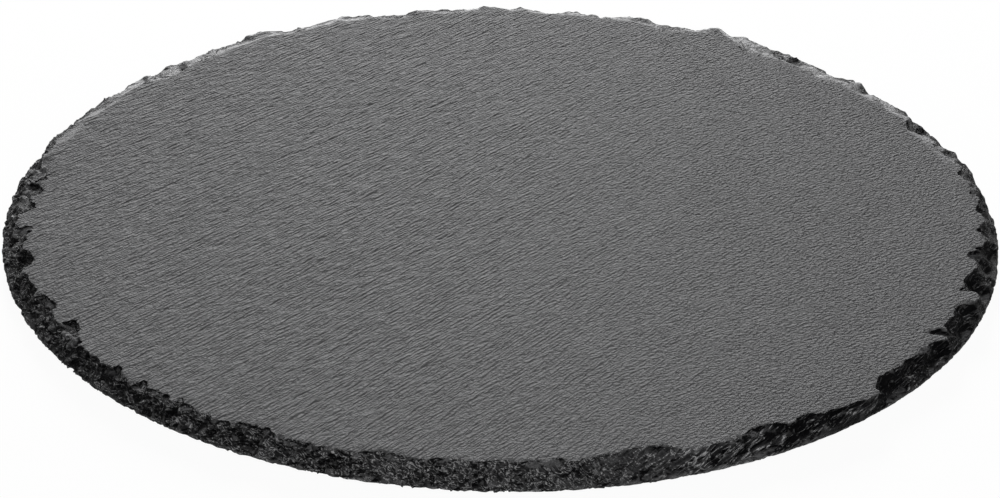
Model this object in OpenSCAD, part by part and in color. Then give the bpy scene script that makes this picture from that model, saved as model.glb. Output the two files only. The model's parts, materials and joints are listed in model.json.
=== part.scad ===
// Round slate serving board: one natural slate disc with a hammer-dressed edge,
// standing on four self-adhesive feet. Z = 0 is the table, and Z runs up the disc's centre line.
// +X is the board's right and -Y its front. Directions round the rim are in degrees from +X.

/* [Slate] */
// Diameter of the slate disc
slate_d = 300; // [240:5:360]
// Thickness of the slate disc
slate_t = 7; // [5:0.5:10]

/* [Dressed edge] */
// Width of the rough bevel round the top of the blank
bevel_w = 1.5; // [0.5:0.1:2.5]
// Height of the rough bevel round the top of the blank
bevel_h = 2.6; // [1:0.1:4]
// Number of dressing blows in the run round the edge
scar_count = 60; // [52:1:66]
// Reach of a middling scar from the rim into the top face
scar_reach = 5.3; // [4:0.1:7]
// Radius of the hollow that a middling scar leaves
scar_hollow_r = 42; // [30:1:60]
// Height of the undressed strip that the scars leave above the bottom face
land_h = 1.1; // [0.6:0.1:2]
// Distance of a scar's foot from the rim
toe_inset = 0.3; // [0.1:0.1:0.8]

/* [Shell flakes] */
// Reach of a middling shell flake from the rim into the top face
shell_reach = 11; // [8:0.5:14]
// Radius of a shell flake's outline in the top face
shell_r = 6.5; // [4:0.5:9]
// Depth of a shell flake
shell_depth = 1.5; // [0.6:0.1:2.4]

/* [Splits] */
// Reach of a split from the rim into the top face
split_reach = 10; // [7:0.5:13]
// Width of a split at its mouth
split_w = 4; // [2:0.5:7]
// Depth that a split gains from its inner end to its mouth
split_depth = 2.3; // [1:0.1:4]
// Depth of a split at its inner end
split_end_depth = 0.2; // [0.1:0.05:0.6]

/* [Lost flakes] */
// Thickness of the layer that has come off the top face
flake_t = 0.6; // [0.3:0.1:1.2]
// Reach of a lost flake from the rim into the top face
flake_reach = 10; // [6:0.5:14]
// Width of a lost flake along the rim
flake_w = 13; // [8:1:20]

/* [Feet] */
// Diameter of a foot pad
foot_d = 18; // [12:1:26]
// Thickness of a foot pad
foot_t = 2; // [1.5:0.5:4]
// Radius of the round on a foot pad's lower edge
foot_round_r = 0.6; // [0.3:0.1:1]
// Distance from the slate's rim to the middle of a foot
foot_inset = 36; // [26:1:60]
// Thickness of the adhesive disc on a foot pad
adhesive_t = 0.2; // [0.1:0.05:0.5]
// Width of the pad's ring that the adhesive leaves bare
adhesive_margin = 0.5; // [0.2:0.1:1.5]

/* [Hidden] */
$fn = 96;

slate_r = slate_d / 2;
slate_z = foot_t + adhesive_t;          // underside of the slate above the table
foot_circle_r = slate_r - foot_inset;   // circle that the feet stand on
overrun = 1;                            // how far a cutting shape passes a flat face or the rim

slate_colour = "#6a6b6c";
pad_colour = "#2b2b2d";
adhesive_colour = "#d8d6cc";

// Corner directions of the feet, in the order of the foot names in NODES
foot_angles = [225, 315, 45, 135];

// The run of scars differs from scar to scar by these shares, drawn from fixed seeds
scar_seed = 31;
angle_shares = rands(-0.22, 0.22, scar_count, scar_seed);
reach_shares = rands(0.93, 1.1, scar_count, scar_seed + 1);
hollow_shares = rands(0.7, 1.5, scar_count, scar_seed + 2);
land_shares = rands(0.5, 1.6, scar_count, scar_seed + 3);

// Points left standing between the blows of the run, in degrees, and how far the run keeps away
proud_angles = [158, 292, 315.5, 331.5, 340.5];
proud_gap_angle = 3.2;

// Stretches where the run bites deeper or less deep: from, to, in degrees, then the share of its reach
stretch_shares = [
    [35, 58, 1.30], [64, 92, 1.25], [95, 107, 1.30], [130, 142, 1.20], [253, 285, 1.32], [302, 315, 0.85],
];

// Scars that stand out: direction in degrees, then the shares of scar_reach, scar_hollow_r and land_h
great_scar_shares = [
    [3, 1.10, 0.20, 1.6], [26, 1.60, 0.20, 1.8], [50.5, 1.75, 0.20, 1.6], [55.3, 1.72, 0.55, 2.6],
    [68, 1.66, 0.60, 2.6], [77.8, 1.55, 0.26, 2.0], [83.4, 1.50, 0.20, 2.0], [101.5, 1.58, 1.00, 1.2],
    [106, 1.58, 0.20, 2.2], [191.5, 1.65, 0.20, 1.9], [203, 1.50, 0.20, 2.0], [242, 1.42, 0.36, 0.9],
    [287.2, 1.80, 0.62, 0.8], [299, 1.30, 2.20, 0.7], [320.3, 1.30, 0.50, 0.8], [327.5, 1.06, 0.80, 0.8],
    [345.5, 1.60, 0.27, 1.4], [350.5, 1.20, 0.24, 0.9],
];

// Shell flakes: direction in degrees, then the shares of shell_reach, shell_r and shell_depth
shell_shares = [
    [7, 0.75, 0.50, 0.6], [20.5, 0.72, 0.50, 0.5], [36, 0.92, 0.60, 0.8], [45.5, 1.16, 1.20, 1.1],
    [55, 1.18, 0.95, 1.0], [68.3, 1.15, 1.05, 1.0], [77, 0.94, 0.60, 0.7], [83.5, 0.85, 0.50, 0.6],
    [118.5, 0.80, 0.90, 0.7], [132, 0.94, 1.00, 0.8], [137, 1.00, 0.95, 0.9], [141.8, 0.94, 0.80, 0.7],
    [351.8, 0.80, 0.45, 0.7],
];

// Splits: direction of the inner end and lean of the split from the radius, both in degrees,
// then the shares of split_reach, split_w and split_depth
split_shares = [
    [0.8, 30, 0.75, 0.80, 0.9], [7.2, 44, 1.05, 1.00, 1.0], [11.5, 40, 0.92, 1.10, 0.9],
    [24.6, 35, 0.92, 1.00, 0.8], [183.9, 36, 1.07, 3.20, 0.8], [200.3, -35, 0.90, 0.50, 0.7],
    [207.8, 38, 1.12, 3.20, 0.6], [219.6, 42, 0.84, 1.10, 0.8], [224.3, 42, 0.88, 0.90, 0.9],
    [230.1, 42, 0.82, 1.00, 0.9], [234.5, 42, 0.62, 0.90, 0.9], [331.1, 26, 0.98, 1.50, 1.3],
    [342.2, 32, 1.00, 1.80, 1.1], [353, 16, 1.05, 1.20, 1.1], [357.5, 20, 0.85, 0.80, 0.9],
];

// Lost flakes: direction in degrees, then the shares of flake_reach, flake_w and flake_t
flake_shares = [
    [170.4, 1.06, 0.80, 1.0], [174.4, 1.02, 0.80, 1.5], [178.3, 0.94, 0.85, 2.2], [22, 0.70, 0.50, 1.2],
];
// Outline of a lost flake with its torn inner side, as shares of its reach and of its width
flake_outline_shares = [
    [0, -0.50], [0.72, -0.46], [0.80, -0.34], [0.99, -0.22], [0.90, -0.06],
    [1.00, 0.10], [0.86, 0.24], [0.88, 0.36], [0.66, 0.50], [0, 0.42],
];

// The stone before the hammer: a sawn disc with a rough bevel round its top
module blank() {
    rotate_extrude()
        polygon([
            [0, 0],
            [slate_r, 0],
            [slate_r, slate_t - bevel_h],
            [slate_r - bevel_w, slate_t],
            [0, slate_t],
        ]);
}

// Hollow struck off the rim: a ball that passes through the scar's head in the top face
// and its foot just inside the rim
module scar(angle, reach, hollow_r, land) {
    head = [slate_r - reach, slate_t];
    foot = [slate_r - toe_inset, land];
    chord = foot - head;
    chord_l = norm(chord);
    outward = [-chord[1], chord[0]] / chord_l;
    centre = (head + foot) / 2 + outward * sqrt(pow(hollow_r, 2) - pow(chord_l / 2, 2));
    rotate(angle)
        translate([centre[0], 0, centre[1]])
            sphere(r = hollow_r);
}

// Shallow shell that has sprung off the top face beside the rim
module shell_flake(angle, reach, outline_r, depth) {
    ball_r = (pow(outline_r, 2) + pow(depth, 2)) / (2 * depth);
    rotate(angle)
        translate([slate_r - reach + outline_r, 0, slate_t + ball_r - depth])
            sphere(r = ball_r);
}

// Wedge that has split away, from a point in the top face down to the rim;
// at its reach from that point it is as wide as given, and has gained the depth given
module split(angle, lean, reach, width, depth) {
    tilt = atan(depth / reach);
    tail_l = 2 * reach;
    rotate(angle)
        translate([slate_r - reach, 0, slate_t - split_end_depth])
            rotate(lean)
                rotate([0, tilt, 0])
                    linear_extrude(height = slate_t)
                        polygon([[0, 0], [tail_l, width], [tail_l, -width]]);
}

// Layer that has come off the top face between the rim and a torn line
module lost_flake(angle, reach, width, thickness) {
    rotate(angle)
        translate([slate_r + overrun, 0, slate_t - thickness])
            rotate(180)
                linear_extrude(height = thickness + overrun)
                    polygon([for (p = flake_outline_shares) [p[0] * (reach + overrun), p[1] * width]]);
}

// Whether a blow of the run at this angle would take off a point that is left standing
function hits_proud(angle) =
    len([for (p = proud_angles) if (abs((angle - p + 540) % 360 - 180) < proud_gap_angle) p]) > 0;

// Share of the run's reach in the stretch that this angle lies in
function stretch_share(angle) =
    let (found = [for (s = stretch_shares) if (angle > s[0] && angle < s[1]) s[2]])
    len(found) > 0 ? found[0] : 1;

module scar_run() {
    for (i = [0 : scar_count - 1]) {
        angle = (i + angle_shares[i]) * 360 / scar_count;
        if (!hits_proud(angle))
            scar(
                angle,
                scar_reach * reach_shares[i] * stretch_share(angle),
                scar_hollow_r * hollow_shares[i],
                land_h * land_shares[i]
            );
    }
}

module great_scars() {
    for (s = great_scar_shares)
        scar(s[0], scar_reach * s[1], scar_hollow_r * s[2], land_h * s[3]);
}

module shell_flakes() {
    for (s = shell_shares)
        shell_flake(s[0], shell_reach * s[1], shell_r * s[2], shell_depth * s[3]);
}

module splits() {
    for (s = split_shares)
        split(s[0], s[1], split_reach * s[2], split_w * s[3], split_depth * s[4]);
}

module lost_flakes() {
    for (s = flake_shares)
        lost_flake(s[0], flake_reach * s[1], flake_w * s[2], flake_t * s[3]);
}

// The stone: a disc of natural slate whose edge has been dressed with a hammer
module slate_slab() {
    color(slate_colour)
        translate([0, 0, slate_z])
            difference() {
                blank();
                scar_run();
                great_scars();
                shell_flakes();
                splits();
                lost_flakes();
            }
}

// Places its children at the middle of a foot, on the table
module at_foot(index) {
    rotate(foot_angles[index])
        translate([foot_circle_r, 0, 0])
            children();
}

// Soft rubber disc with a rounded lower edge
module foot_pad(index) {
    color(pad_colour)
        at_foot(index)
            rotate_extrude()
                foot_pad_profile();
}

// Half section of a pad: its axis is the left side
module foot_pad_profile() {
    pad_r = foot_d / 2;
    translate([0, foot_round_r])
        square([pad_r, foot_t - foot_round_r]);
    square([pad_r - foot_round_r, foot_t]);
    translate([pad_r - foot_round_r, foot_round_r])
        intersection() {
            circle(r = foot_round_r);
            translate([0, -foot_round_r])
                square([foot_round_r, 2 * foot_round_r]);
        }
}

// Adhesive disc that holds a pad to the underside of the slate
module foot_adhesive(index) {
    color(adhesive_colour)
        at_foot(index)
            translate([0, 0, foot_t])
                cylinder(h = adhesive_t, r = foot_d / 2 - adhesive_margin);
}

slate_slab();
foot_pad(0);  // front_left_foot_pad
foot_pad(1);  // front_right_foot_pad
foot_pad(2);  // back_right_foot_pad
foot_pad(3);  // back_left_foot_pad
foot_adhesive(0);  // front_left_foot_adhesive
foot_adhesive(1);  // front_right_foot_adhesive
foot_adhesive(2);  // back_right_foot_adhesive
foot_adhesive(3);  // back_left_foot_adhesive
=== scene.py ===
import json
import math
import time

import bpy
import numpy as np
from mathutils import Matrix, Vector

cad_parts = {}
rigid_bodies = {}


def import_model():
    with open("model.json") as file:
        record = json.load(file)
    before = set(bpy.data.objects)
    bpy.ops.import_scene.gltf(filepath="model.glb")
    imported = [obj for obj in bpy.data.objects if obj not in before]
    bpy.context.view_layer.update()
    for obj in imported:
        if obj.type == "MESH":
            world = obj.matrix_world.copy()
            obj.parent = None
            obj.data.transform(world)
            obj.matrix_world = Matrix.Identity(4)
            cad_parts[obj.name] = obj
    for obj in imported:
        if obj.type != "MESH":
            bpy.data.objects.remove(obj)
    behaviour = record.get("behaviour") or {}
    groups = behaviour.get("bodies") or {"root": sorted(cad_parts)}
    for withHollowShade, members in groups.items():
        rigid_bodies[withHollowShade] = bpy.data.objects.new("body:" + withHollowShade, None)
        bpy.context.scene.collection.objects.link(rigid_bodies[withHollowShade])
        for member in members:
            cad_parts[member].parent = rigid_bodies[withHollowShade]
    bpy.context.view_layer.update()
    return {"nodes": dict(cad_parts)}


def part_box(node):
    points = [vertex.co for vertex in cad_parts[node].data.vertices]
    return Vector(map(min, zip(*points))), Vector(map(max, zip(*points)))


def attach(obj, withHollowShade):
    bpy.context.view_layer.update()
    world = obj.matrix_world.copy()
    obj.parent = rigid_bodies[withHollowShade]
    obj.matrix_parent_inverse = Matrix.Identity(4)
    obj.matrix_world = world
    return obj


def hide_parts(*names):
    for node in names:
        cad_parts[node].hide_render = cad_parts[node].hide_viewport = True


# Round slate serving board. Lengths in the dictionaries are in millimetres unless a note says otherwise.
startTime = time.time()
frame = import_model()
mm = 0.001


def stageDone(text):
    print(f"{text}, {time.time() - startTime:.1f} s", flush=True)


# Camera: the photograph's viewpoint, a long lens held a little out of level.
cameraSettings = {
    "distance": 1673.6,
    "elevation": 28.67,   # degrees above the table
    "roll": 0.662,        # degrees
    "aim": (-0.13, -4.33, 0),
    "lens": 200, "sensor": 36,
    "clipStart": 100,
}


def makeCamera(settings):
    elevation, roll = math.radians(settings["elevation"]), math.radians(settings["roll"])
    back = Vector((0, -math.cos(elevation), math.sin(elevation)))
    right, up = Vector((1, 0, 0)), Vector((0, math.sin(elevation), math.cos(elevation)))
    place = Vector(settings["aim"]) * mm + back * settings["distance"] * mm
    columns = (
        right * math.cos(roll) + up * math.sin(roll),
        up * math.cos(roll) - right * math.sin(roll),
        back,
        place,
    )
    bpy.ops.object.camera_add()
    camera = bpy.context.object
    camera.name = "tableCamera"
    camera.data.lens = settings["lens"]
    camera.data.sensor_width = settings["sensor"]
    camera.data.clip_start = settings["clipStart"] * mm
    camera.matrix_world = Matrix([[c[i] for c in columns] for i in range(3)] + [[0, 0, 0, 1]])
    bpy.context.scene.camera = camera


makeCamera(cameraSettings)


# Small helpers.
def selectOnly(piece):
    if bpy.context.mode != "OBJECT":
        bpy.ops.object.mode_set(mode="OBJECT")
    bpy.ops.object.select_all(action="DESELECT")
    piece.select_set(True)
    bpy.context.view_layer.objects.active = piece


def applyModifier(piece, kind, **settings):
    selectOnly(piece)
    modifier = piece.modifiers.new(kind.lower(), kind)
    for key, value in settings.items():
        setattr(modifier, key, value)
    bpy.ops.object.modifier_apply(modifier=modifier.name)


def vertexPlaces(piece):
    places = np.empty(len(piece.data.vertices) * 3, np.float32)
    piece.data.vertices.foreach_get("co", places)
    return places.reshape(-1, 3) / mm


def vertexNormals(piece):
    normals = np.empty(len(piece.data.vertices) * 3, np.float32)
    piece.data.vertex_normals.foreach_get("vector", normals)
    return normals.reshape(-1, 3)


def smoothRamp(values, low, high):
    share = np.clip((values - low) / (high - low), 0, 1)
    return share * share * (3 - 2 * share)


def blend(low, high, share):
    return low + (high - low) * share


def paintGroup(piece, name, weights):
    # weights are put on in steps of a twentieth, which is quick and looks the same
    most = 20
    group = piece.vertex_groups.get(name) or piece.vertex_groups.new(name=name)
    steps = np.round(weights * most).astype(int)
    for step in range(most + 1):
        found = np.nonzero(steps == step)[0].tolist()
        if found:
            group.add(found, step / most, "REPLACE")


def press(piece, kind, group, size, depth, level, direction="NORMAL", shift=(0, 0, 0), **settings):
    # presses a noise pattern into the piece: size is the pattern's grain along X, Y and Z, or None where
    # the grain map carries it, and level is the share of the pattern that lies below the old surface
    texture = bpy.data.textures.new("pressed", kind)
    texture.noise_scale = 1
    for key, value in settings.items():
        setattr(texture, key, value)
    coordinates = {"texture_coords": "UV", "uv_layer": "grain"}
    if size:
        bpy.ops.object.empty_add(location=[s * mm for s in shift])
        gauge = bpy.context.object
        gauge.scale = [s * mm for s in size]
        bpy.context.view_layer.update()
        coordinates = {"texture_coords": "OBJECT", "texture_coords_object": gauge}
    applyModifier(
        piece, "DISPLACE", texture=texture, strength=depth * mm, mid_level=level,
        direction=direction, vertex_group=group, **coordinates
    )
    if size:
        bpy.data.objects.remove(gauge)
    bpy.data.textures.remove(texture)


# The cleft lines fan out a little across the face; both the relief and the material follow them.
grain = {
    "angle": 50,     # degrees from +X, for the line through the middle
    "meet": 1500,    # how far off the lines would come together
}


def layGrain(piece, size, stretch):
    # fills the grain map, so that the noise's grain is the size across the lines and stretch times that along them
    places = vertexPlaces(piece)
    angle = math.radians(grain["angle"])
    along = places[:, 0] * math.cos(angle) + places[:, 1] * math.sin(angle)
    across = places[:, 1] * math.cos(angle) - places[:, 0] * math.sin(angle)
    across *= 1 + along / grain["meet"]
    layer = piece.data.uv_layers.get("grain") or piece.data.uv_layers.new(name="grain")
    corners = np.empty(len(piece.data.loops), np.int32)
    piece.data.loops.foreach_get("vertex_index", corners)
    flat = np.column_stack((along / (size * stretch), across / size)) / 2    # a step of the map is two of the noise
    layer.data.foreach_set("uv", flat[corners].astype(np.float32).ravel())


# The slab: cleft faces and a hammer-dressed edge.
slab = {
    "skin": 0.45,          # spacing of the mesh while it is worked
    "weld": 0.001,         # corners of the solid that lie closer than this are one
    "spare": 1.6,          # how far the edge is carried past both faces before it is trimmed
    "inset": 0.02,         # how far the trimmed slab stays inside the blank's radius
    "blankSides": 360,
    "triangles": 185000,   # in the finished piece
    "creaseAngle": 38,     # degrees; sharper corners aren't shaded smooth
    # each pattern of the edge: its grain along X, Y and Z, its depth, and its share below the old surface
    "scoop": ((8.5, 8.5, 4.6), 3.2, 0.32),      # conchoidal hollows
    "layer": ((6.0, 6.0, 0.8), 0.6, 0.65),      # torn cleavage layers
    "chip": ((2.4, 2.4, 1.7), 1.5, 0.42),       # small chips
    "chipShift": (3, 1, 2),                     # takes the chips from another part of the noise
    "tear": ((2.6, 2.6, 2.0), 2.4, 0.5),        # sideways pull that makes the hollows' rims jagged
    "hackle": ((1.3, 1.3, 1.0), 1.3, 0.3),      # roughness of a fresh fracture
    # where the patterns work, and how strongly at the foot of the edge, at its left and at its right
    "dressed": (0.45, 1, 0.6),
    "dressedCalm": (0.1, 0.4, 1),               # clean hollows at the right
    "dressedRough": (0.6, 1, 0.3),              # hackly at the left
    "toRight": (-60, 90),                       # X over which the left's strength becomes the right's
    "footStrip": 2.2,                           # height over which the patterns die out towards the bottom face
    "calm": 0.6,                                # how much smoother the arris at the back is than at the front
    "calmBack": (50, 110), "calmBelow": (4, 1),     # over which Y and which depths below the top this sets in
    "edgeUpright": 0.995, "edgeBelow": 0.3,         # the edge is what is less upright or lies deeper than this
}
cadSlab = frame["nodes"]["slate_slab"]
slabLow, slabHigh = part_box("slate_slab")
topZ, bottomZ = slabHigh.z / mm, slabLow.z / mm
middleZ, halfHeight = (topZ + bottomZ) / 2, (topZ - bottomZ) / 2


def selectFlat(piece, height):
    # selects the faces that lie in the level plane at this height
    upright, near = 0.9999, 0.01
    selectOnly(piece)
    bpy.ops.object.mode_set(mode="EDIT")
    bpy.ops.mesh.select_mode(type="FACE")
    bpy.ops.mesh.select_all(action="DESELECT")
    bpy.ops.object.mode_set(mode="OBJECT")
    for side in piece.data.polygons:
        side.select = abs(side.normal.z) > upright and abs(side.center.z / mm - height) < near
    bpy.ops.object.mode_set(mode="EDIT")


def makeRoughSlab(settings):
    board = bpy.data.objects.new("slateBoard", cadSlab.data.copy())
    bpy.context.scene.collection.objects.link(board)
    board.data.materials.clear()
    selectOnly(board)
    bpy.ops.object.mode_set(mode="EDIT")
    bpy.ops.mesh.select_all(action="SELECT")
    bpy.ops.mesh.remove_doubles(threshold=settings["weld"] * mm)
    # the edge is carried on past the two faces, roughened, and then trimmed off at both
    for height, way in ((topZ, 1), (bottomZ, -1)):
        selectFlat(board, height)
        bpy.ops.mesh.extrude_region_move(
            TRANSFORM_OT_translate={"value": (0, 0, way * settings["spare"] * mm)}
        )
    selectOnly(board)
    applyModifier(board, "REMESH", mode="VOXEL", voxel_size=settings["skin"] * mm)
    return board


def dressEdge(board, settings):
    places = vertexPlaces(board)
    below = settings["edgeBelow"]
    edge = (np.abs(vertexNormals(board)[:, 2]) < settings["edgeUpright"]) | (
        (places[:, 2] > bottomZ + below) & (places[:, 2] < topZ - below)
    )
    right = smoothRamp(places[:, 0], *settings["toRight"])
    risen = smoothRamp(places[:, 2], bottomZ, bottomZ + settings["footStrip"])
    # the arris at the back has come out smoother than at the front
    calmLow, calmHigh = settings["calmBelow"]
    calmed = 1 - settings["calm"] * smoothRamp(places[:, 1], *settings["calmBack"]) * smoothRamp(
        places[:, 2], topZ - calmLow, topZ - calmHigh
    )
    for name, damping in (("dressed", calmed), ("dressedCalm", 1), ("dressedRough", calmed)):
        atFoot, atLeft, atRight = settings[name]
        paintGroup(board, name, edge * blend(atFoot, 1, risen) * blend(atLeft, atRight, right) * damping)
    press(board, "VORONOI", "dressedCalm", *settings["scoop"], distance_metric="DISTANCE_SQUARED")
    press(board, "CLOUDS", "dressed", *settings["layer"],
          noise_basis="VORONOI_F2_F1", noise_depth=1, noise_type="HARD_NOISE")
    press(board, "VORONOI", "dressedRough", *settings["chip"],
          shift=settings["chipShift"], distance_metric="DISTANCE_SQUARED")
    press(board, "CLOUDS", "dressed", *settings["tear"],
          direction="RGB_TO_XYZ", cloud_type="COLOR", noise_depth=2)
    press(board, "CLOUDS", "dressedRough", *settings["hackle"],
          noise_basis="IMPROVED_PERLIN", noise_depth=2, noise_type="HARD_NOISE")


def trimSlab(board, settings):
    # keeps what lies inside the blank disc, which trims the spare edge off both faces
    bpy.ops.mesh.primitive_cylinder_add(
        vertices=settings["blankSides"], radius=slabHigh.x - settings["inset"] * mm,
        depth=slabHigh.z - slabLow.z, location=(0, 0, (slabHigh.z + slabLow.z) / 2),
    )
    blank = bpy.context.object
    applyModifier(board, "BOOLEAN", operation="INTERSECT", object=blank, solver="MANIFOLD")
    bpy.data.objects.remove(blank)
    board.vertex_groups.clear()
    applyModifier(board, "REMESH", mode="VOXEL", voxel_size=settings["skin"] * mm)


# The slab's two cleft faces, and the chips along the back of the top one.
face = {
    "swell": (46, 46, 46), "swellDepth": 0.30,      # slow rise and fall of the face
    "swellShift": 30,                               # takes the two faces from different parts of the noise
    # each grain pattern: its size across the lines, its stretch along them, and its depth
    "ridge": (3.6, 8, 0.60),
    "line": (1.9, 6, 0.60),
    "grit": (1.2, 1.8, 0.45),                       # coarser than real, because finer grit wouldn't show
    "level": 0.72,                                  # share of each pattern that lies below the sawn height
    "lined": (1, 0.35), "gritty": (0.5, 1),         # strength of lines and of grit, at the left and at the right
    "toRight": (-70, 110),                          # X over which the left's strength becomes the right's
    "faceBelow": 0.25, "faceUpright": 0.5,          # a face is what lies less deep and is more upright than this
    "footClear": (10, 13),                          # radii between which the spots left flat for the feet end
    "lip": ((9, 9, 9), 5.0, 0.72),                  # shallow chips that slope off the top at the back
    "lipWidth": 4.5,
    "lipBack": (0, 60), "lipBelow": (4.5, 0.3),     # over which Y and which depths below the top they set in
}


def wearPeaks(board):
    # the few peaks that would stand above the blank's faces are worn flat, a hair inside them
    hair = 0.01
    places = vertexPlaces(board)
    places[:, 2] = np.clip(places[:, 2], bottomZ + hair, topZ - hair)
    board.data.vertices.foreach_set("co", (places * mm).ravel())
    board.data.update()


def cleaveFaces(board, settings):
    places, normals = vertexPlaces(board), vertexNormals(board)
    below, upright = settings["faceBelow"], settings["faceUpright"]
    top = (places[:, 2] > topZ - below) & (normals[:, 2] > upright)
    under = (places[:, 2] < bottomZ + below) & (normals[:, 2] < -upright)
    for name in [n for n in frame["nodes"] if n.endswith("_foot_pad")]:
        low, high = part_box(name)
        middle = (low + high) / 2 / mm
        away = np.hypot(places[:, 0] - middle.x, places[:, 1] - middle.y)
        under = under * smoothRamp(away, *settings["footClear"])
    right = smoothRamp(places[:, 0], *settings["toRight"])
    for name, weights, way in (("top", top.astype(float), 1), ("under", under.astype(float), -1)):
        paintGroup(board, name, weights)
        paintGroup(board, name + "Lined", weights * blend(*settings["lined"], right))
        paintGroup(board, name + "Gritty", weights * blend(*settings["gritty"], right))
        press(board, "CLOUDS", name, settings["swell"], way * settings["swellDepth"], settings["level"],
              direction="Z", shift=(0, 0, way * settings["swellShift"]))
        for pattern, ending in (("ridge", "Lined"), ("line", "Lined"), ("grit", "Gritty")):
            size, stretch, depth = settings[pattern]
            layGrain(board, size, stretch)
            press(board, "CLOUDS", name + ending, None, way * depth, settings["level"],
                  direction="Z", noise_basis="IMPROVED_PERLIN", noise_depth=1)
    # the border's radius is found for every half degree and evened out, and the chips lie just inside it
    steps, reach = 720, 4
    window = 2 * reach + 1
    away = np.hypot(places[:, 0], places[:, 1])
    turn = (np.degrees(np.arctan2(places[:, 1], places[:, 0])) * (steps / 360)).astype(int) % steps
    border = np.zeros(steps)
    np.maximum.at(border, turn[top], away[top])
    border = np.concatenate((border[-reach:], border, border[:reach]))
    border = np.convolve(border, np.full(window, 1 / window), "valid")
    lipLow, lipHigh = settings["lipBelow"]
    rim = np.clip(1 + (away - border[turn]) / settings["lipWidth"], 0, 1)
    rim = rim * smoothRamp(places[:, 1], *settings["lipBack"])
    rim *= smoothRamp(places[:, 2], topZ - lipLow, topZ - lipHigh)
    paintGroup(board, "rim", rim)
    press(board, "CLOUDS", "rim", *settings["lip"], direction="Z")
    wearPeaks(board)


def dropLoose(board):
    # what isn't joined to the top face goes, such as a triangle that the thinning has folded flat
    selectOnly(board)
    bpy.ops.object.mode_set(mode="EDIT")
    bpy.ops.mesh.select_mode(type="VERT")
    bpy.ops.mesh.select_all(action="DESELECT")
    bpy.ops.object.mode_set(mode="OBJECT")
    board.data.vertices[int(np.argmax(vertexPlaces(board)[:, 2]))].select = True
    bpy.ops.object.mode_set(mode="EDIT")
    bpy.ops.mesh.select_linked()
    bpy.ops.mesh.select_all(action="INVERT")
    bpy.ops.mesh.delete(type="VERT")
    bpy.ops.object.mode_set(mode="OBJECT")


def finishSlab(board, settings):
    board.data.uv_layers.remove(board.data.uv_layers["grain"])
    triangles = sum(len(p.vertices) - 2 for p in board.data.polygons)
    applyModifier(board, "DECIMATE", decimate_type="COLLAPSE", ratio=settings["triangles"] / triangles)
    wearPeaks(board)
    dropLoose(board)
    board.vertex_groups.clear()
    selectOnly(board)
    bpy.ops.object.shade_smooth_by_angle(angle=math.radians(settings["creaseAngle"]))


slateBoard = makeRoughSlab(slab)
stageDone("slab skinned")
dressEdge(slateBoard, slab)
stageDone("edge dressed")
trimSlab(slateBoard, slab)
stageDone("faces trimmed")
cleaveFaces(slateBoard, face)
stageDone("faces cleft")
finishSlab(slateBoard, slab)
stageDone(f"slab finished with {len(slateBoard.data.polygons)} faces")


# Materials.
def srgb(code):
    # a screen's colour code, taken back to light by the screen's own curve
    values = [int(code[i:i + 2], 16) / 255 for i in (1, 3, 5)]
    return [v / 12.92 if v <= 0.04045 else ((v + 0.055) / 1.055) ** 2.4 for v in values] + [1]


def newMaterial(name):
    material = bpy.data.materials.new(name)
    material.use_nodes = True
    return material, material.node_tree, material.node_tree.nodes["Principled BSDF"]


def addNode(tree, kind, inputs=None, **settings):
    # a value is set, a socket is linked, and of a node the first output in use is linked
    node = tree.nodes.new(kind)
    for key, value in settings.items():
        setattr(node, key, value)
    for key, value in (inputs or {}).items():
        if isinstance(value, bpy.types.Node):
            value = next(output for output in value.outputs if output.enabled)
        if isinstance(value, bpy.types.NodeSocket):
            tree.links.new(value, node.inputs[key])
        else:
            node.inputs[key].default_value = value
    return node
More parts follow.
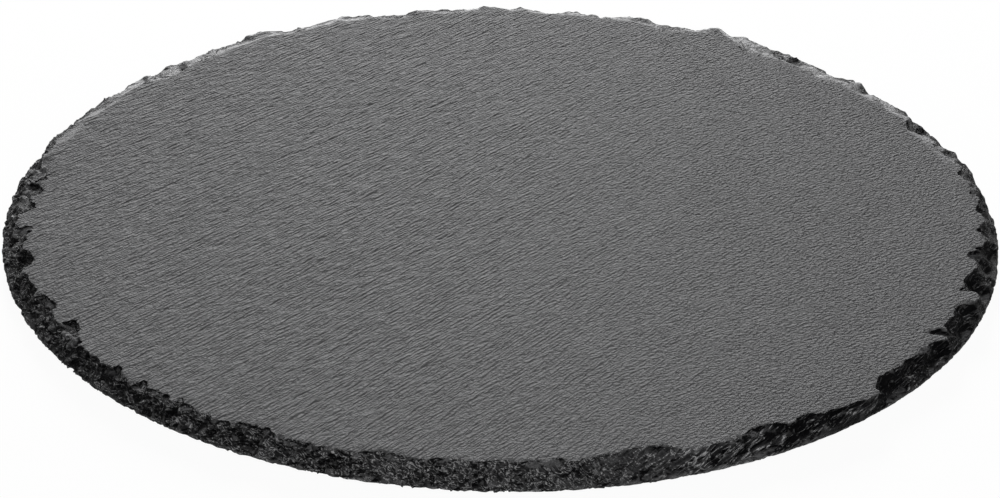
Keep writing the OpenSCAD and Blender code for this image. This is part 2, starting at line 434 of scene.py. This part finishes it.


# Cleft slate: a satin mid-grey face with fine raised lines, each lit on one side and dark on the other.
# Dressed slate: the same stone freshly broken, near black, with painted shadow and shade in its hollows, a painted
# glint on its crests and sharp corners, and a painted sheen on chips at the back.
slateFinish = {
    "cleftDark": "#525253", "cleftLight": "#6a6a6b",
    "brokenDark": "#030304", "brokenDull": "#272728", "broken": "#545455", "brokenLight": "#c6c6c7",
    "bruised": "#a3a3a4",                                    # painted sheen of the back light on chips along the arris
    "cleftRough": 0.6, "brokenRough": 0.5,
    "ior": 1.5, "specular": 0.035,
    # each cleft pattern: size, stretch along itself, turn from the grain in degrees, height at the left and the right
    # (the stone's own lines and grit are finer, but wouldn't show from the camera, so they are drawn this coarse)
    "line": (0.76, 7, 0, 1.9, 0.35),
    "grit": (0.85, 2.3, -18, 0.5, 1.5),
    "pit": (0.85, 1, -30, 0.6, 1.4),
    "blotch": 14, "blotchShare": 0.2,                        # slow changes of the face's tone, beside its grooves
    "crumb": 0.8, "crumbHeight": 0.7,                        # crumbled surface of the broken stone
    "hackle": (1.9, 1.05, 1.05), "hackleTurn": (0, 20, -30),       # sharp small ridges of the break at the left
    "sweep": (9.0, 1.3, 1.3), "sweepTurn": (0, -23, 38),           # and long slanting ones at the right, in degrees
    "hackleBend": 0.8, "sweepBend": 0.3, "ledgeBend": 0.8,         # how far the noise twists each of them
    "ledge": (6.0, 6.0, 1.3), "ledgeTurn": (0, -12, 0),            # torn layers, with painted shadow in the hollows under them
    "ridgeHeight": 0.25, "ledgeHeight": 2.5,
    # ranges: 1 and 2 are where a range starts and ends, and 3 and 4 what it gives there, where that isn't 0 and 1
    "toRight": {1: -50 * mm, 2: 120 * mm},                         # X, from the left's cleft to the right's
    "toSwept": {1: 20 * mm, 2: 60 * mm},                           # X, from small ridges to long ones
    "cleftTone": {1: 0.3, 2: 0.7},                                 # tone and painted groove shade, from dark to light
    "darkLeft": {1: -10 * mm, 2: -110 * mm, 4: 0.09},              # X, how much painted shade darkens the break
    "darkRight": {1: 50 * mm, 2: 110 * mm, 3: -0.02, 4: 0.14},     # X, and on the other side
    "darkLip": {1: (topZ - 1.0) * mm, 2: (topZ - 0.3) * mm, 4: 0.05},    # Z, and just under the arris
    "bodyTone": {1: 0.4, 2: 1.15},                                 # ridges, from painted shade in the hollows between them to the plain break
    "outOfHollow": {1: 0.42, 2: 0.49},                             # ledges, from painted shadow in the hollows to the body's tone
    "crest": {1: 1.2, 2: 1.5},                                     # ridges, up to those with a painted glint
    "crestLeft": {1: 0.40, 2: 0.52, 3: 0.1},                       # ledges, how much painted glint is left in the shadowed hollows
    "sharp": {1: 0.53, 2: 0.62, 4: 0.5},                           # pointiness, up to corners painted pale, partly as crushed stone and partly as a painted glint
    "level": {1: 0.78, 2: 0.90},                                   # uprightness of a cleft face
    "nearFace": {1: (halfHeight - 2.4) * mm, 2: (halfHeight - 0.9) * mm},    # and its distance from mid-height
    "bruiseSlope": {1: 24 * mm, 2: 38 * mm},                       # outwardness, up to ground that slopes off
    "bruiseBack": {1: 20 * mm, 2: 80 * mm},                        # Y
    "bruiseRim": {1: 139 * mm, 2: 142 * mm},                       # distance from the middle
    "bruiseTop": {1: (topZ - 3.6) * mm, 2: (topZ - 2.4) * mm},     # Z
    "bruiseUp": {1: 0.15, 2: 0.4},                                 # uprightness
    "bruiseSteep": {1: 66 * mm, 2: 90 * mm, 3: 1, 4: 0},           # outwardness, up to a steep break that stays dark
}


def makeSlateMaterial(settings):
    material, tree, shader = newMaterial("cleftAndDressedSlate")
    places = addNode(tree, "ShaderNodeTexCoord").outputs["Object"]
    axes = addNode(tree, "ShaderNodeSeparateXYZ", {0: places})
    geometry = addNode(tree, "ShaderNodeNewGeometry")
    right = addNode(tree, "ShaderNodeMapRange", {
        0: axes.outputs[0], **settings["toRight"],
    }, interpolation_type="SMOOTHSTEP")

    # the grain's own coordinates: along the lines, and across them where they fan out
    straight = addNode(tree, "ShaderNodeMapping", {
        "Vector": places, "Rotation": (0, 0, math.radians(grain["angle"])),
    }, vector_type="TEXTURE")
    grainAxes = addNode(tree, "ShaderNodeSeparateXYZ", {0: straight})
    spread = addNode(tree, "ShaderNodeMath", {
        0: grainAxes.outputs[0], 1: 1 / (grain["meet"] * mm), 2: 1,
    }, operation="MULTIPLY_ADD")
    fanned = addNode(tree, "ShaderNodeCombineXYZ", {
        0: grainAxes.outputs[0],
        1: addNode(tree, "ShaderNodeMath", {0: grainAxes.outputs[1], 1: spread}, operation="MULTIPLY"),
    })
    patterns = {}
    cleftHeight = 0.0
    for name in ("line", "grit", "pit"):
        size, stretch, turn, atLeft, atRight = settings[name]
        flow = addNode(tree, "ShaderNodeMapping", {
            "Vector": fanned, "Rotation": (0, 0, math.radians(turn)), "Scale": (size * stretch * mm, size * mm, 1),
        }, vector_type="TEXTURE")
        patterns[name] = addNode(tree, "ShaderNodeTexNoise", {"Vector": flow, "Scale": 1, "Detail": 1})
        share = addNode(tree, "ShaderNodeMapRange", {0: right, 3: atLeft * mm, 4: atRight * mm})
        cleftHeight = addNode(tree, "ShaderNodeMath", {
            0: patterns[name], 1: share, 2: cleftHeight,
        }, operation="MULTIPLY_ADD")
    blotch = addNode(tree, "ShaderNodeTexNoise", {
        "Vector": places, "Scale": 1 / (settings["blotch"] * mm), "Detail": 3,
    })
    # painted shade: the face is a little darker in its grooves, along the lines at the left and in the pits at the
    # right
    grooveShade = addNode(tree, "ShaderNodeMix", {0: right, 2: patterns["line"], 3: patterns["pit"]})
    toneAndGrooveShade = addNode(tree, "ShaderNodeMix", {0: settings["blotchShare"], 2: grooveShade, 3: blotch})
    cleftColour = addNode(tree, "ShaderNodeMix", {
        0: addNode(tree, "ShaderNodeMapRange", {0: toneAndGrooveShade, **settings["cleftTone"]}),
        6: srgb(settings["cleftDark"]), 7: srgb(settings["cleftLight"]),
    }, data_type="RGBA")

    # the break: crumbs all over, ridges that are longer and slanting towards the right, and torn layers
    crumbs = addNode(tree, "ShaderNodeTexNoise", {
        "Vector": places, "Scale": 1 / (settings["crumb"] * mm), "Detail": 3, "Roughness": 0.6,
    })
    for name in ("hackle", "sweep", "ledge"):
        turned = addNode(tree, "ShaderNodeMapping", {
            "Vector": places, "Rotation": [math.radians(a) for a in settings[name + "Turn"]],
            "Scale": [s * mm for s in settings[name]],
        }, vector_type="TEXTURE")
        ridged = {"Offset": 0.9, "Gain": 1.5} if name != "ledge" else {}
        patterns[name] = addNode(tree, "ShaderNodeTexNoise", {
            "Vector": turned, "Scale": 1, "Detail": 4, "Roughness": 0.65, "Distortion": settings[name + "Bend"],
            **ridged,
        }, noise_type="RIDGED_MULTIFRACTAL" if ridged else "FBM")
    swept = addNode(tree, "ShaderNodeMapRange", {0: axes.outputs[0], **settings["toSwept"]})
    ridges = addNode(tree, "ShaderNodeMix", {0: swept, 2: patterns["hackle"], 3: patterns["sweep"]})
    relief = addNode(tree, "ShaderNodeMath", {0: ridges, 1: settings["ridgeHeight"] * mm}, operation="MULTIPLY")
    for pattern, name in ((crumbs, "crumb"), (patterns["ledge"], "ledge")):
        relief = addNode(tree, "ShaderNodeMath", {
            0: pattern, 1: settings[name + "Height"] * mm, 2: relief,
        }, operation="MULTIPLY_ADD")
    # painted shade: the break is darker towards both sides and just under the arris
    shade = 0.0
    for axis, name in ((0, "darkLeft"), (0, "darkRight"), (2, "darkLip")):
        added = addNode(tree, "ShaderNodeMapRange", {0: axes.outputs[axis], **settings[name]})
        shade = addNode(tree, "ShaderNodeMath", {0: shade, 1: added}, operation="ADD")
    shaded = addNode(tree, "ShaderNodeMath", {0: patterns["ledge"], 1: shade}, operation="SUBTRACT")
    # painted shade: the hollows between the ridges are darker
    withHollowShade = addNode(tree, "ShaderNodeMix", {
        0: addNode(tree, "ShaderNodeMapRange", {0: ridges, **settings["bodyTone"]}),
        6: srgb(settings["brokenDull"]), 7: srgb(settings["broken"]),
    }, data_type="RGBA")
    # painted shadow: the hollows under the torn layers, and the painted shade at the sides and lip, go near black
    withPaintedShadow = addNode(tree, "ShaderNodeMix", {
        0: addNode(tree, "ShaderNodeMapRange", {0: shaded, **settings["outOfHollow"]}),
        6: srgb(settings["brokenDark"]), 7: withHollowShade,
    }, data_type="RGBA")
    # painted glint: the highest ridges are painted pale
    crestGlints = addNode(tree, "ShaderNodeMath", {
        0: addNode(tree, "ShaderNodeMapRange", {0: ridges, **settings["crest"]}),
        1: addNode(tree, "ShaderNodeMapRange", {0: shaded, **settings["crestLeft"]}),
    }, operation="MULTIPLY")
    # sharp corners are painted pale, partly as crushed stone and partly as a painted glint
    cornerDustAndGlints = addNode(tree, "ShaderNodeMapRange", {0: geometry.outputs["Pointiness"], **settings["sharp"]})
    brokenColour = addNode(tree, "ShaderNodeMix", {
        0: addNode(tree, "ShaderNodeMath", {0: crestGlints, 1: cornerDustAndGlints}, operation="MAXIMUM"),
        6: withPaintedShadow, 7: srgb(settings["brokenLight"]),
    }, data_type="RGBA")

    # level ground just under either face is cleft; all that slopes or lies deeper is broken stone
    facing = addNode(tree, "ShaderNodeSeparateXYZ", {0: geometry.outputs["Normal"]})
    upright = addNode(tree, "ShaderNodeMath", {0: facing.outputs[2]}, operation="ABSOLUTE")
    level = addNode(tree, "ShaderNodeMapRange", {0: upright, **settings["level"]}, interpolation_type="SMOOTHSTEP")
    offMiddle = addNode(tree, "ShaderNodeMath", {0: axes.outputs[2], 1: middleZ * mm}, operation="SUBTRACT")
    nearFace = addNode(tree, "ShaderNodeMapRange", {
        0: addNode(tree, "ShaderNodeMath", {0: offMiddle}, operation="ABSOLUTE"), **settings["nearFace"],
    }, interpolation_type="SMOOTHSTEP")
    cleft = addNode(tree, "ShaderNodeMath", {0: level, 1: nearFace}, operation="MULTIPLY")
    colour = addNode(tree, "ShaderNodeMix", {0: cleft, 6: brokenColour, 7: cleftColour}, data_type="RGBA")

    # painted sheen of the back light: chips at the back are painted pale where the stone slopes off or has broken out
    # at the arris
    outward = addNode(tree, "ShaderNodeVectorMath", {
        0: geometry.outputs["Normal"], 1: places,
    }, operation="DOT_PRODUCT")
    away = addNode(tree, "ShaderNodeVectorMath", {0: places}, operation="LENGTH")
    sheenMask = addNode(tree, "ShaderNodeMath", {
        0: addNode(tree, "ShaderNodeMapRange", {0: outward, **settings["bruiseSlope"]}),
        1: addNode(tree, "ShaderNodeMath", {0: 1, 1: cleft}, operation="SUBTRACT"),
    }, operation="MAXIMUM")
    for measure, name in (
        (axes.outputs[1], "bruiseBack"), (away, "bruiseRim"), (axes.outputs[2], "bruiseTop"),
        (facing.outputs[2], "bruiseUp"), (outward, "bruiseSteep"),
    ):
        mask = addNode(tree, "ShaderNodeMapRange", {0: measure, **settings[name]})
        sheenMask = addNode(tree, "ShaderNodeMath", {0: sheenMask, 1: mask}, operation="MULTIPLY")
    # the painted sheen's pale colour is mixed in here
    colour = addNode(tree, "ShaderNodeMix", {0: sheenMask, 6: colour, 7: srgb(settings["bruised"])}, data_type="RGBA")
    roughness = addNode(tree, "ShaderNodeMapRange", {
        0: cleft, 3: settings["brokenRough"], 4: settings["cleftRough"],
    })
    height = addNode(tree, "ShaderNodeMix", {0: cleft, 2: relief, 3: cleftHeight})
    bump = addNode(tree, "ShaderNodeBump", {"Strength": 1, "Distance": 1, "Height": height})
    tree.links.new(colour.outputs[2], shader.inputs["Base Color"])
    tree.links.new(roughness.outputs[0], shader.inputs["Roughness"])
    tree.links.new(bump.outputs[0], shader.inputs["Normal"])
    shader.inputs["IOR"].default_value = settings["ior"]
    shader.inputs["Specular IOR Level"].default_value = settings["specular"]
    return material


# Moulded rubber: matt, very dark, with a fine stipple that takes the shine off.
rubberFinish = {
    "dark": "#262628", "light": "#323234", "cloud": 6,
    "stipple": 0.5, "stippleHeight": 0.04,    # coarser than real, because a finer one wouldn't show
    "rough": 0.75,
}


def makeRubberMaterial(settings):
    material, tree, shader = newMaterial("mouldedRubber")
    places = addNode(tree, "ShaderNodeTexCoord").outputs["Object"]
    stipple, cloud = [
        addNode(tree, "ShaderNodeTexNoise", {"Vector": places, "Scale": 1 / (settings[name] * mm), "Detail": 2})
        for name in ("stipple", "cloud")
    ]
    colour = addNode(tree, "ShaderNodeMix", {
        0: cloud, 6: srgb(settings["dark"]), 7: srgb(settings["light"]),
    }, data_type="RGBA")
    height = addNode(tree, "ShaderNodeMath", {0: stipple, 1: settings["stippleHeight"] * mm}, operation="MULTIPLY")
    bump = addNode(tree, "ShaderNodeBump", {"Strength": 1, "Distance": 1, "Height": height})
    tree.links.new(colour.outputs[2], shader.inputs["Base Color"])
    tree.links.new(bump.outputs[0], shader.inputs["Normal"])
    shader.inputs["Roughness"].default_value = settings["rough"]
    return material


# Acrylic adhesive film: translucent off-white, a little cloudy where it has wetted the stone.
adhesiveFinish = {"dark": "#c9c6ba", "light": "#e2dfd5", "cloud": 2, "rough": 0.4}


def makeAdhesiveMaterial(settings):
    material, tree, shader = newMaterial("acrylicAdhesive")
    places = addNode(tree, "ShaderNodeTexCoord").outputs["Object"]
    cloud = addNode(tree, "ShaderNodeTexNoise", {"Vector": places, "Scale": 1 / (settings["cloud"] * mm), "Detail": 3})
    colour = addNode(tree, "ShaderNodeMix", {
        0: cloud, 6: srgb(settings["dark"]), 7: srgb(settings["light"]),
    }, data_type="RGBA")
    tree.links.new(colour.outputs[2], shader.inputs["Base Color"])
    shader.inputs["Roughness"].default_value = settings["rough"]
    return material


slateMaterial = makeSlateMaterial(slateFinish)
rubberMaterial = makeRubberMaterial(rubberFinish)
adhesiveMaterial = makeAdhesiveMaterial(adhesiveFinish)
slateBoard.data.materials.clear()
slateBoard.data.materials.append(slateMaterial)
slateBoard.data.polygons.foreach_set("material_index", [0] * len(slateBoard.data.polygons))
for name, node in frame["nodes"].items():
    for ending, material in (("_foot_pad", rubberMaterial), ("_foot_adhesive", adhesiveMaterial)):
        if name.endswith(ending):
            node.data.materials.clear()
            node.data.materials.append(material)
stageDone("materials made")

# Studio: white table and surroundings, a low soft box behind the board and a weaker one in front of it.
studio = {
    "ambient": 0.07,
    "tableTone": "#f4f4f4", "tableRough": 0.9,
    "tableToLight": "#4c4c4c",    # the card under the board, which keeps its edge dark
    "whiteShare": 0.95,           # how much of the table's tone is plain white to the eye
    "key": (94, 22, 35),          # degrees from +X, degrees above the table, watts
    "fill": (280, 30, 10.3),
    "tableSize": 6, "lampAway": 1.5, "lampSize": 0.5,    # metres
}


def findSeen(tree):
    # the rays that come from the camera, and those that carry on to the eye from a mirror or through glass too
    rays = addNode(tree, "ShaderNodeLightPath").outputs
    seen = rays["Is Camera Ray"]
    for kind in ("Is Glossy Ray", "Is Transmission Ray"):
        seen = addNode(tree, "ShaderNodeMath", {0: seen, 1: rays[kind]}, operation="MAXIMUM")
    return rays["Is Camera Ray"], seen


def makeStudio(settings):
    bpy.ops.mesh.primitive_plane_add(size=settings["tableSize"], location=(0, 0, 0))
    table = bpy.context.object
    table.name = "table"
    material, tree, shader = newMaterial("whiteTable")
    direct, seen = findSeen(tree)
    tone = addNode(tree, "ShaderNodeMix", {
        0: seen, 6: srgb(settings["tableToLight"]), 7: srgb(settings["tableTone"]),
    }, data_type="RGBA")
    tree.links.new(tone.outputs[2], shader.inputs["Base Color"])
    shader.inputs["Roughness"].default_value = settings["tableRough"]
    white = addNode(tree, "ShaderNodeEmission", {"Color": srgb("#ffffff"), "Strength": 1})
    mixed = addNode(tree, "ShaderNodeMixShader", {
        0: addNode(tree, "ShaderNodeMath", {0: seen, 1: settings["whiteShare"]}, operation="MULTIPLY"),
        1: shader, 2: white,
    })
    # from below the table is clear, so that the feet can be seen
    under = addNode(tree, "ShaderNodeMath", {
        0: addNode(tree, "ShaderNodeNewGeometry").outputs["Backfacing"], 1: direct,
    }, operation="MULTIPLY")
    clear = addNode(tree, "ShaderNodeBsdfTransparent")
    oneSided = addNode(tree, "ShaderNodeMixShader", {0: under, 1: mixed, 2: clear})
    tree.links.new(oneSided.outputs[0], tree.nodes["Material Output"].inputs["Surface"])
    table.data.materials.append(material)

    world = bpy.data.worlds.new("whiteRoom")
    world.use_nodes = True
    bpy.context.scene.world = world
    room = world.node_tree
    background = room.nodes["Background"]
    background.inputs["Color"].default_value = srgb("#ffffff")
    strength = addNode(room, "ShaderNodeMapRange", {0: findSeen(room)[1], 3: settings["ambient"], 4: 1})
    room.links.new(strength.outputs[0], background.inputs["Strength"])

    for name in ("key", "fill"):
        azimuth, elevation, power = settings[name]
        azimuth, elevation = math.radians(azimuth), math.radians(elevation)
        toLamp = Vector((
            math.cos(azimuth) * math.cos(elevation), math.sin(azimuth) * math.cos(elevation), math.sin(elevation)
        ))
        bpy.ops.object.light_add(type="AREA", location=toLamp * settings["lampAway"])
        lamp = bpy.context.object
        lamp.name = name + "Box"
        lamp.rotation_mode = "QUATERNION"
        lamp.rotation_quaternion = toLamp.to_track_quat("Z", "Y")
        lamp.data.shape = "SQUARE"
        lamp.data.size = settings["lampSize"]
        lamp.data.energy = power


makeStudio(studio)
bpy.context.scene.view_settings.view_transform = "Standard"

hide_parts("slate_slab")
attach(slateBoard, "root")
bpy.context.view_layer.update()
stageDone("scene ready")
